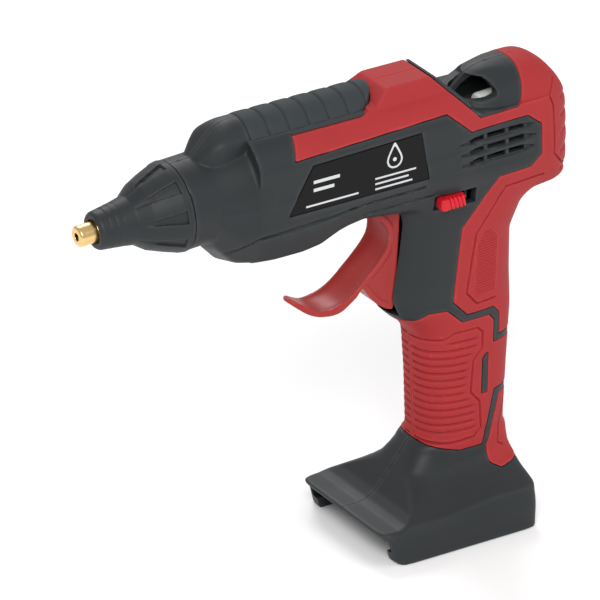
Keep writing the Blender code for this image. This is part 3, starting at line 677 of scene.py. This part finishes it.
# ------------------------ relief of the soft parts
PAD_EDGE = [(115, 216), (110.2, 210), (112.6, 204.6), (113.1, 194), (113, 180.5), (119, 173.4),
            (124, 172)]
SCALLOP_PITCH, SCALLOP_LOW_Z, SCALLOP_DEPTH = 8.8, 170.6, 1.15
PANEL_LINE = [(108, 171), (86, 171.2), (71, 150), (67, 120), (73, 113), (84, 113)]
FINE_RIBS = [(72, 117), (83.5, 117), (83.5, 145), (79, 150), (75.6, 150), (72.3, 143)]
FINE_PITCH = 1.37
RIB_INNER_Y = 8.0
GRIP_LINE = [(30, 95.5), (50, 97), (57, 97), (62, 100), (74, 100), (77, 97), (77, 89), (72, 83), (71, 67),
             (76, 61), (77, 47), (73, 43.6), (60, 43), (30, 45)]
GRIP_TOP_Z = 98.5
GRIP_PITCH = 3.87
HEEL_LINE = [(93, 58), (87.6, 44), (86.4, 36.5), (89.5, 34.5)]


def upper_relief_flat(x, z):
    """Depth of the grooves and scallops in the upper overmould, seen from the side."""
    depth = groove(path_distance(PAD_EDGE, x, z), 1.3, 0.9)
    depth = np.maximum(depth, groove(path_distance(PANEL_LINE, x, z), 1.3, 0.9))
    share = np.mod((z - SCALLOP_LOW_Z) / SCALLOP_PITCH, 1)
    scallop = SCALLOP_DEPTH * np.abs(2 * share - 1) ** 3
    inside = np.clip((x - 116) / 3, 0, 1) * np.clip((209 - z) / 2, 0, 1) * np.clip(z - 168.5, 0, 1)
    return np.maximum(depth, scallop * inside)


def grip_relief_flat(x, z):
    """Depth of the finger grooves and their frame, seen from the side."""
    depth = groove(path_distance(GRIP_LINE, x, z), 1.3, 0.9)
    ring = GRIP_LINE[1:-1] + [(40, 43), (40, 97)]
    inside = np.clip((-polygon_distance(ring, np.maximum(x, 46), z) - 2.4) / 1.6, 0, 1)
    row = np.round((GRIP_TOP_Z - z) / GRIP_PITCH)
    off = np.abs(z - (GRIP_TOP_Z - row * GRIP_PITCH))
    pillow = 0.28 * (2 * off / GRIP_PITCH - 1) ** 2
    band = (groove(off, 1.5, 0.75) + pillow) * inside
    return np.maximum(depth, band)


def heel_relief_flat(x, z):
    """Depth of the looped groove in the heel pad, seen from the side."""
    return groove(path_distance(HEEL_LINE, x, z), 1.2, 0.7)


UPPER_RELIEF = Chart(upper_relief_flat, (60, 88), (134, 236))
GRIP_RELIEF = Chart(grip_relief_flat, (20, 34), (104, 120))
HEEL_RELIEF = Chart(heel_relief_flat, (70, 24), (106, 66))
FINE_CHART = rounded_outline(FINE_RIBS, 0.3)


def upper_relief(x, y, z):
    """Grooves of the upper overmould and the pocket of its finely ribbed panel."""
    ay = np.abs(y)
    pocket = np.clip(0.5 - FINE_CHART(x, z) / 0.3, 0, 1) * (ay > RIB_INNER_Y)
    return np.maximum(UPPER_RELIEF(x, z) * (x > 62), pocket)


def grip_relief(x, y, z):
    """Grooves of the grip, which stop at a plain strip down its front."""
    return GRIP_RELIEF(x, z) * np.clip((np.abs(y) - 0.9) / 0.8, 0, 1)


def heel_relief(x, _, z):
    """Looped groove of the heel pad."""
    return HEEL_RELIEF(x, z)


def fine_rib_field(x, y, z):
    """Ribbed panel that fills the pocket behind the handle."""
    outer = form(x, y, z)
    wave = 0.25 * (1 + np.cos(2 * np.pi * z / FINE_PITCH))
    edge = FINE_CHART(x, z)
    lift = wave * np.clip(-edge / 0.8, 0, 1)
    field = smax(outer + 0.04 + lift, edge + 0.05, 0.15)
    return smax(smax(field, -(outer + 1.25), 0.1), RIB_INNER_Y - np.abs(y), 0.1)


# ------------------------ nose cone and nozzle
CONE_RINGS = [(8.6, 5.7), (8.6, 8.0), (9.8, 9.0), (21, 10.5), (26.5, 11.5), (33, 16.0), (40, 18.9),
              (46, 21.0), (CONE_LENGTH, 21.7), (CONE_LENGTH, 18.4), (57.0, 18.4), (57.0, 16.6), (50, 17.0),
              (38, 14.6), (31, 12.4), (26, 9.0), (16, 7.6), (14, 5.7)]
CONE_CHART = rounded_outline(CONE_RINGS, 0.45)
CONE_R = smooth_line([(9.8, 9.0), (21, 10.5), (26.5, 11.5), (33, 16.0), (40, 18.9), (46, 21.0),
                      (CONE_LENGTH, 21.7)], 0.9)
FLUTES = 9
FLUTE_START, FLUTE_END, FLUTE_DEPTH = 27.0, 46.6, 1.2
RING_START, RING_END, RING_PITCH = 12.0, 21.6, 3.2
NOZZLE_RINGS = [(0, 1.9), (0, 4.1), (0.8, 4.9), (2.5, 5.0), (9.0, 5.0), (9.4, 5.3), (13, 5.3), (13.4, 3.9),
                (21, 3.9), (21, 1.9)]
NOZZLE_CHART = rounded_outline(NOZZLE_RINGS, 0.2)


def cone_field(x, y, z):
    """Heat shield with long tapered flutes that end bluntly before its ring."""
    along, radius, angle = on_axis(x, y, z)
    spacing = 2 * np.pi / FLUTES
    off = np.abs(np.mod(angle + spacing / 2, spacing) - spacing / 2) * radius
    share = np.clip((along - FLUTE_START) / (FLUTE_END - FLUTE_START), 0, 1)
    depth = FLUTE_DEPTH * np.minimum(share * 2.2, 1)
    flute = smax(off - (0.5 + 2.6 * share), along - FLUTE_END, 0.4)
    flute = smax(flute, (CONE_R(along) - depth) - radius, 0.5)
    flute = np.maximum(flute, FLUTE_START - along)
    off_ring = np.abs(np.mod(along - RING_START, RING_PITCH) - RING_PITCH / 2)
    rings = groove(off_ring, 0.9, 0.15) * (along > RING_START) * (along < RING_END)
    return smax(CONE_CHART(along, radius) + rings * (radius > 8.5), -flute, 0.5)


def nozzle_field(x, y, z):
    """Turned brass nozzle."""
    along, radius, _ = on_axis(x, y, z)
    return NOZZLE_CHART(along, radius)


def stick_field(start, end):
    """Glue stick with rounded ends."""
    def field(x, y, z):
        along, radius, _ = on_axis(x, y, z)
        return smax(radius - STICK_R, np.abs(along - (start + end) / 2) - (end - start) / 2, 2.0)
    return field


# ------------------------ trigger
TRIGGER_FRONT = [(24, 165.5), (28.4, 161.5), (31.0, 156), (30.4, 151), (28.8, 147.5), (25, 143), (21, 139.2),
                 (16.4, 135), (10.4, 129.6), (3, 125.9), (-5, 125.2)]
TRIGGER_TROUGH = [(26.6, 164.6), (30.8, 160.6), (33.0, 156), (32.4, 150.2), (30.4, 146.2), (26.4, 141.9),
                  (22.0, 138.2), (17.1, 134.4), (11.1, 129.0), (3.5, 124.9), (-4, 124.4)]
TRIGGER_TIP = [(-8.5, 126.5), (-13, 129.2), (-17, 132), (-19.4, 132.8), (-19.8, 131.2), (-14, 126.4),
               (-10.4, 123.9), (-5.7, 122.6)]
TRIGGER_BACK = [(2, 122.2), (5.9, 123.2), (10.3, 126.2), (13, 128.1), (16.3, 132.2), (20.2, 126.2),
                (24.7, 121.3), (28.6, 118.5), (32.5, 117.1), (33.6, 120.5), (34.8, 137), (35.6, 151.4),
                (PIVOT_X + 6.6, PIVOT_Z - 4), (PIVOT_X + 4, PIVOT_Z + 5)]
TRIGGER_TOP = [(PIVOT_X - 7, PIVOT_Z + 3), (PIVOT_X - 11, PIVOT_Z - 5)]


def corners_cut(points, rounds=3):
    """Open line with its corners cut off again and again."""
    for _ in range(rounds):
        line = [points[0]]
        for (ax, az), (bx, bz) in zip(points, points[1:]):
            line += [(0.75 * ax + 0.25 * bx, 0.75 * az + 0.25 * bz),
                     (0.25 * ax + 0.75 * bx, 0.25 * az + 0.75 * bz)]
        points = line + [points[-1]]
    return points


def trigger_chart(front):
    """Side outline of the trigger with the given front of its blade."""
    face = corners_cut(front + TRIGGER_TIP[:4])
    under = corners_cut(TRIGGER_TIP[4:] + TRIGGER_BACK[:4], 2)
    return rounded_outline(face + under + TRIGGER_BACK[4:] + TRIGGER_TOP[:1], 0.4)


RIM_CHART = trigger_chart(TRIGGER_TOP[1:] + TRIGGER_FRONT)
TROUGH_CHART = trigger_chart([(PIVOT_X - 9, PIVOT_Z - 5)] + TRIGGER_TROUGH)
TRIGGER_WIDTH = smooth_line([(-20, 1.0), (-18.6, 3.2), (-15, 5.0), (-11, 6.9), (-6, 9.2), (-1, TRIGGER_HALF),
                             (10, TRIGGER_HALF)], 1.0)
SPRING_ROOM = ((-9, -3.4, -4.7), (12, 3.4, 10))  # corners from the pivot
PANEL_DEPTH = 0.6  # of the sunk panel on each side of the blade
FORK_Y, FORK_HALF = 11.1, 1.5  # middle and half thickness of each arm of the fork
FORK_CHART = rounded_outline([(PIVOT_X - 6, PIVOT_Z + 3.5), (PIVOT_X + 6, PIVOT_Z + 0.8),
                              (PIVOT_X + 4, PIVOT_Z + PIN_UP + 4.5),
                              (PIVOT_X - 4, PIVOT_Z + PIN_UP + 4.5)], 0.4)


def trigger_field(x, y, z):
    """Blade with a hollowed front between two rims, and the fork that pushes the feed pin."""
    ay = np.abs(y)
    width = TRIGGER_WIDTH(x)
    rim = np.clip(ay / np.maximum(width - 1.4, 0.6), 0, 1) ** 4
    edge = RIM_CHART(x, z)
    sunk = PANEL_DEPTH * np.clip((-edge - 2.2) / 1.2, 0, 1) * np.clip((x - 16) / 3, 0, 1)
    blade = TROUGH_CHART(x, z) * (1 - rim) + edge * rim
    blade = smax(blade, ay - width + sunk, 0.9)
    fork = smax(FORK_CHART(x, z), np.abs(ay - FORK_Y) - FORK_HALF, 0.3)
    blade = smin(blade, fork, 0.3)
    slot = np.maximum(np.abs(x - PIVOT_X) - 1.8, np.abs(z - PIVOT_Z - PIN_UP - 1.8) - 4.2)
    hole = np.hypot(x - PIVOT_X, z - PIVOT_Z) - PIN_HOLE_R
    spring = box_field(x - PIVOT_X, y, z - PIVOT_Z, *SPRING_ROOM, 0.3)
    return smax(blade, -np.minimum(np.minimum(slot, hole), spring), 0.3)


# ------------------------ switch, labels, screws
BUTTON_PITCH, BUTTON_RIB = 2.1, 0.7
TONGUE = ((52.5, -20.5, 170.0), (58.5, -16.4, 173.0))


def button_field(x, y, z):
    """Ribbed slide button with its tongue into the switch."""
    low, high = node_box("switch_button")
    cap = box_field(x, y, z, (low[0], low[1], low[2]), (high[0], -19.8, high[2]), 1.6)
    share = np.mod((x - low[0] - 3.4 + 0.25 * (z - low[2])) / BUTTON_PITCH, 1)
    ribs = BUTTON_RIB * np.abs(2 * share - 1) ** 2 * np.clip((x - low[0] - 3.0) / 0.6, 0, 1)
    cap = cap + ribs * (y < -23)
    tongue = box_field(x, y, z, *TONGUE, 0.3)
    return smin(cap, tongue, 0.3)


def label_field(x, y, z):
    """Label plate with a bevelled rim."""
    ay = np.abs(y)
    edge = LABEL_CHART(x, z) + 0.1
    bevel = (edge * 0.35 + (ay - SIDE_Y + 0.12)) / 1.06
    field = smax(smax(edge, ay - SIDE_Y + 0.1, 0.25), bevel, 0.1)
    return smax(field, SIDE_Y - 0.7 - ay, 0.1)


DROP = [(23.5, 210.2), (20.2, 203.8), (19.6, 201.6), (20.4, 199.4), (22.2, 198.1), (24.8, 198.1),
        (26.6, 199.4), (27.4, 201.6), (26.8, 203.8)]
PRINT_BARS = [((-20, 200.6), (-6, 202.2)), ((-20, 196.6), (-9, 198.2)), ((-24, 189.6), (4, 190.5)),
              ((13, 194.2), (35, 195.1)), ((13, 191.6), (31, 192.5)), ((13, 189.0), (33, 189.9))]


def print_field(side):
    """Generic drop badge and plain bars standing in for print, a hair above the label."""
    drop = rounded_outline(DROP, 0.7)

    def field(x, y, z):
        ay = np.abs(y)
        across = x if side < 0 else 8.0 - x
        shape = np.abs(drop(across, z)) - 0.45
        shape = np.minimum(shape, np.hypot(across - 23.5, z - 202) - 1.0)
        for low, high in PRINT_BARS:
            bar = np.maximum(np.abs(across - (low[0] + high[0]) / 2) - (high[0] - low[0]) / 2,
                             np.abs(z - (low[1] + high[1]) / 2) - (high[1] - low[1]) / 2)
            shape = np.minimum(shape, bar)
        return np.maximum(shape, np.abs(ay - SIDE_Y + 0.4) - 0.38)
    return field


SCREWS = [(-53, 171.5), (-46, 217), (4, 171.5), (48, 217), (110, 176), (88, 140), (60, 99), (84, 58)]
HEAD_LOW, HEAD_HIGH, HEAD_R, DOME_R = 13.8, 16.2, 3.2, 7.5


def screw_field(x, y, z):
    """Pan-head screw along +Y with a cross recess."""
    radius = np.hypot(x, z)
    dome = np.sqrt(radius ** 2 + (y - HEAD_HIGH + DOME_R) ** 2) - DOME_R
    head = smax(smax(radius - HEAD_R, dome, 0.4), HEAD_LOW - y, 0.3)
    arm = np.minimum(np.maximum(np.abs(x) - 0.45, np.abs(z) - 1.9),
                     np.maximum(np.abs(z) - 0.45, np.abs(x) - 1.9))
    head = smax(head, -np.maximum(arm, HEAD_HIGH - 1.3 - y), 0.15)
    thread = 0.16 * (1 + np.cos(2 * np.pi * y / 1.4 + np.arctan2(x, z)))
    shank = np.maximum(radius - 1.35 + thread, np.abs(y - 1.4) - 12.4)
    return np.minimum(head, shank)


# ------------------------ materials
def shader_node(made, kind, values, wires, **settings):
    """New node of a material, with its settings, socket values and incoming wires."""
    node = made.node_tree.nodes.new(kind)
    for key, value in settings.items():
        setattr(node, key, value)
    for key, value in values.items():
        node.inputs[key].default_value = value
    for key, output in wires.items():
        made.node_tree.links.new(output, node.inputs[key])
    return node.outputs


def plastic(name, colour, roughness, grain=2600.0, bump=0.05, wear=0.0, speckle=0.10, shine=0.3):
    """Moulded plastic: fine sparked texture, slight tone and gloss variation, polished edges."""
    made = bpy.data.materials.new(name)
    made.use_nodes = True
    place = shader_node(made, "ShaderNodeTexCoord", {}, {})["Object"]
    broad = shader_node(made, "ShaderNodeTexNoise", {"Scale": 55.0, "Detail": 4.0},
                        {"Vector": place})["Fac"]
    tone = shader_node(made, "ShaderNodeMapRange", {"To Min": 1.0 - speckle, "To Max": 1.0 + speckle},
                       {"Value": broad})["Result"]
    tint = shader_node(made, "ShaderNodeMix", {"Factor": 1.0, 6: (*colour, 1.0)}, {7: tone},
                       data_type="RGBA", blend_type="MULTIPLY")[2]
    if wear:
        geometry = shader_node(made, "ShaderNodeNewGeometry", {}, {})
        edge = shader_node(made, "ShaderNodeMapRange", {"From Min": 0.505, "From Max": 0.56},
                           {"Value": geometry["Pointiness"]})["Result"]
        scaled = shader_node(made, "ShaderNodeMath", {1: wear}, {0: edge}, operation="MULTIPLY")[0]
        polished = (*[min(1, c * 1.6 + 0.02) for c in colour], 1.0)
        tint = shader_node(made, "ShaderNodeMix", {7: polished}, {"Factor": scaled, 6: tint},
                           data_type="RGBA")[2]
    rough = shader_node(made, "ShaderNodeMapRange",
                        {"To Min": roughness - 0.07, "To Max": roughness + 0.07},
                        {"Value": broad})["Result"]
    spark = shader_node(made, "ShaderNodeTexNoise", {"Scale": grain, "Detail": 2.0},
                        {"Vector": place})["Fac"]
    lift = shader_node(made, "ShaderNodeBump", {"Strength": bump, "Distance": 0.0003},
                       {"Height": spark})["Normal"]
    shader = made.node_tree.nodes["Principled BSDF"]
    shader.inputs["Metallic"].default_value = 0.0
    shader.inputs["Specular IOR Level"].default_value = shine
    for key, output in (("Base Color", tint), ("Roughness", rough), ("Normal", lift)):
        made.node_tree.links.new(output, shader.inputs[key])
    return made


def metal(name, colour, roughness, brush=900.0, bump=0.04):
    """Turned or drawn metal with a fine grain in its surface."""
    made = plastic(name, colour, roughness, brush, bump, speckle=0.06)
    made.node_tree.nodes["Principled BSDF"].inputs["Metallic"].default_value = 1.0
    return made


FINISH = {
    "nylon": plastic("nylon", (0.019, 0.022, 0.024), 0.50, bump=0.10, wear=0.35, shine=0.25),
    "soft_red": plastic("soft_red", (0.33, 0.024, 0.026), 0.62, bump=0.08, wear=0.3, shine=0.18),
    "soft_black": plastic("soft_black", (0.030, 0.036, 0.039), 0.66, bump=0.10, wear=0.3, shine=0.2),
    "trigger_red": plastic("trigger_red", (0.30, 0.022, 0.020), 0.40, bump=0.02, wear=0.3, shine=0.25),
    "button_red": plastic("button_red", (0.52, 0.006, 0.016), 0.30, bump=0.02, wear=0.3),
    "label": plastic("label_black", (0.006, 0.006, 0.006), 0.32, bump=0.01, shine=0.12),
    "print": plastic("print_grey", (0.55, 0.56, 0.57), 0.5, bump=0.01),
    "glue": plastic("glue", (0.80, 0.80, 0.77), 0.35, bump=0.01),
    "brass": metal("brass", (0.80, 0.56, 0.24), 0.24),
    "steel": metal("steel", (0.60, 0.61, 0.63), 0.30),
    "aluminium": metal("aluminium", (0.72, 0.73, 0.74), 0.38),
    "silicone": plastic("silicone", (0.60, 0.20, 0.10), 0.6),
    "ceramic": plastic("ceramic", (0.80, 0.78, 0.72), 0.6),
    "board": plastic("board", (0.02, 0.16, 0.06), 0.42),
    "moulding": plastic("moulding", (0.035, 0.036, 0.038), 0.5)}


def housing_pieces():
    """Shells and the parts set into them, one set a side, with y outwards from the middle."""
    upper, grip = skin_field(upper_outline, upper_relief), skin_field(grip_outline, grip_relief)
    heel = skin_field(HEEL_CHART, heel_relief)
    for side, sign in (("left", -1), ("right", 1)):
        for name, node, field, (x0, x1), (y0, y1), (z0, z1), step, finish in (
                ("housing_shell_{}", "housing_{}", half(housing_field, sign),
                 (-84, 134), (-1, 43), (-2, 236), 0.98, "nylon"),
                ("upper_overmould_{}_skin", "upper_overmould_{}", half(upper, sign),
                 (-34, 134), (-1, 43), (88, 236), 0.6, "soft_red"),
                ("grip_overmould_{}_skin", "grip_overmould_{}", half(grip, sign),
                 (26, 104), (-1, 43), (36, 118), 0.45, "soft_red"),
                ("heel_pad_{}_skin", "heel_pad_{}", half(heel, sign),
                 (74, 104), (-1, 43), (24, 66), 0.5, "soft_red"),
                ("fine_rib_panel_{}", "", fine_rib_field,
                 (70, 86), (8, 26), (115, 152), 0.34, "soft_red"),
                ("label_plate_{}", "label_{}", label_field,
                 (-36, 45), (23, 26), (185, 213), 0.5, "label"),
                ("label_print_{}", "", print_field(sign),
                 (-38, 45), (23, 26), (186, 213), 0.4, "print")):
            low_y, high_y = sorted((sign * y0, sign * y1))
            piece = moulded(name.format(side), field, (x0, low_y, z0), (x1, high_y, z1), step)
            adopt(piece, "housing", [node.format(side)] if node else [], finish)


def insert_field(x, y, z):
    """Soft grip on the back, cushioned between thin grooves."""
    outer = form(x, y, z)
    share = np.mod((x - INSERT_FRONT) / INSERT_PITCH, 1)
    cushion = 1.1 * np.abs(2 * share - 1) ** 5 * np.clip((19 - x) / 2, 0, 1)
    field = smax(outer - 0.25 + cushion, insert_outline(x, y), 0.8)
    return smax(smax(field, SOFT_TOP_Z - z, 0.2), -(outer + SKIN), 0.2)


def padded(name, margin):
    """Corners of a box round a CAD node."""
    low, high = node_box(name)
    return [value - margin for value in low], [value + margin for value in high]


def small_pieces():
    """Pieces with a single mesh each, and the screws."""
    for name, body, node, field, (low, high), step, finish in (
            ("top_grip_ribbed", "housing", "top_grip", insert_field,
             ((-50, -16, 212), (28, 16, 236)), 0.45, "soft_black"),
            ("nose_cone_fluted", "housing", "nose_cone", cone_field,
             ((-124, -24, 168), (-68, 24, 222)), 0.55, "nylon"),
            ("nozzle_turned", "housing", "nozzle", nozzle_field,
             ((-132, -7, 185), (-106, 7, 202)), 0.3, "brass"),
            ("glue_stick_round", "stick", "glue_stick", stick_field(40, 190),
             padded("glue_stick", 2), 0.7, "glue"),
            ("next_glue_stick_round", "next_stick", "next_glue_stick", stick_field(214, 252),
             padded("next_glue_stick", 2), 0.7, "glue"),
            ("trigger_moulded", "trigger", "trigger", trigger_field,
             ((-27, -14, 112), (42, 14, 198)), 0.6, "trigger_red"),
            ("switch_button_ribbed", "switch", "switch_button", button_field,
             padded("switch_button", 1), 0.3, "button_red")):
        adopt(moulded(name, field, low, high, step), body, [node], finish)
    verts, faces = contour(screw_field, (-4, -12, -4), (4, 18, 4), 0.32)
    for number, (x, z) in enumerate(SCREWS, 1):
        screw = mesh_object(f"screw_{number}_cross", verts + np.array([x, 0, z]), faces)
        adopt(screw, "housing", [f"screw_{number}"], "steel")


def dress_nodes():
    """Materials of the CAD nodes that stay."""
    for entry in frame["record"]["subparts"]:
        obj = frame["nodes"].get(entry["node"])
        if obj:
            obj.data.materials.clear()
            obj.data.materials.append(FINISH[entry["material_slot"]])


CAMERA_AZIMUTH, CAMERA_ELEVATION = -32.28, 26.59
CAMERA_AIM = (-0.01155, 0, 0.12951)
CAMERA_LENS = 525.6
FLOOR_HALF = 6.0


def stage_and_camera():
    """Pale floor, soft studio lights and the camera at the photograph's angle."""
    mesh = bpy.data.meshes.new("floor")
    signs = ((-1, -1), (1, -1), (1, 1), (-1, 1))
    mesh.from_pydata([(sx * FLOOR_HALF, sy * FLOOR_HALF, 0) for sx, sy in signs], [], [(0, 1, 2, 3)])
    floor = bpy.data.objects.new("floor", mesh)
    bpy.context.scene.collection.objects.link(floor)
    paper = bpy.data.materials.new("paper")
    paper.use_nodes = True
    shader = paper.node_tree.nodes["Principled BSDF"]
    shader.inputs["Base Color"].default_value = (0.95, 0.95, 0.95, 1)
    shader.inputs["Roughness"].default_value = 0.9
    mesh.materials.append(paper)

    world = bpy.data.worlds.new("studio")
    world.use_nodes = True
    world.node_tree.nodes["Background"].inputs["Color"].default_value = (1, 1, 1, 1)
    world.node_tree.nodes["Background"].inputs["Strength"].default_value = 0.62
    bpy.context.scene.world = world
    target = Vector((0, 0, 0.13))
    for name, place, width, power in (("key", (-0.9, -1.3, 1.5), 0.9, 27),
                                      ("fill", (1.4, -1.0, 0.9), 1.2, 8),
                                      ("rim", (0.5, 1.4, 1.4), 0.8, 14)):
        light = bpy.data.lights.new(name, "AREA")
        light.size = width
        light.energy = power
        lamp = bpy.data.objects.new(name, light)
        lamp.location = place
        lamp.rotation_euler = (target - Vector(place)).to_track_quat("-Z", "Y").to_euler()
        bpy.context.scene.collection.objects.link(lamp)

    azimuth, elevation, distance = math.radians(CAMERA_AZIMUTH), math.radians(CAMERA_ELEVATION), 4.0
    back = Vector((math.sin(azimuth) * math.cos(elevation), -math.cos(azimuth) * math.cos(elevation),
                   math.sin(elevation)))
    aim = Vector(CAMERA_AIM)
    camera_data = bpy.data.cameras.new("camera")
    camera_data.lens = CAMERA_LENS
    camera_data.sensor_width = 36.0
    camera_data.clip_end = 100
    camera = bpy.data.objects.new("camera", camera_data)
    camera.location = aim + back * distance
    camera.rotation_euler = (-back).to_track_quat("-Z", "Y").to_euler()
    bpy.context.scene.collection.objects.link(camera)
    bpy.context.scene.camera = camera
    bpy.context.scene.view_settings.view_transform = "Standard"


dress_nodes()
housing_pieces()
small_pieces()
stage_and_camera()
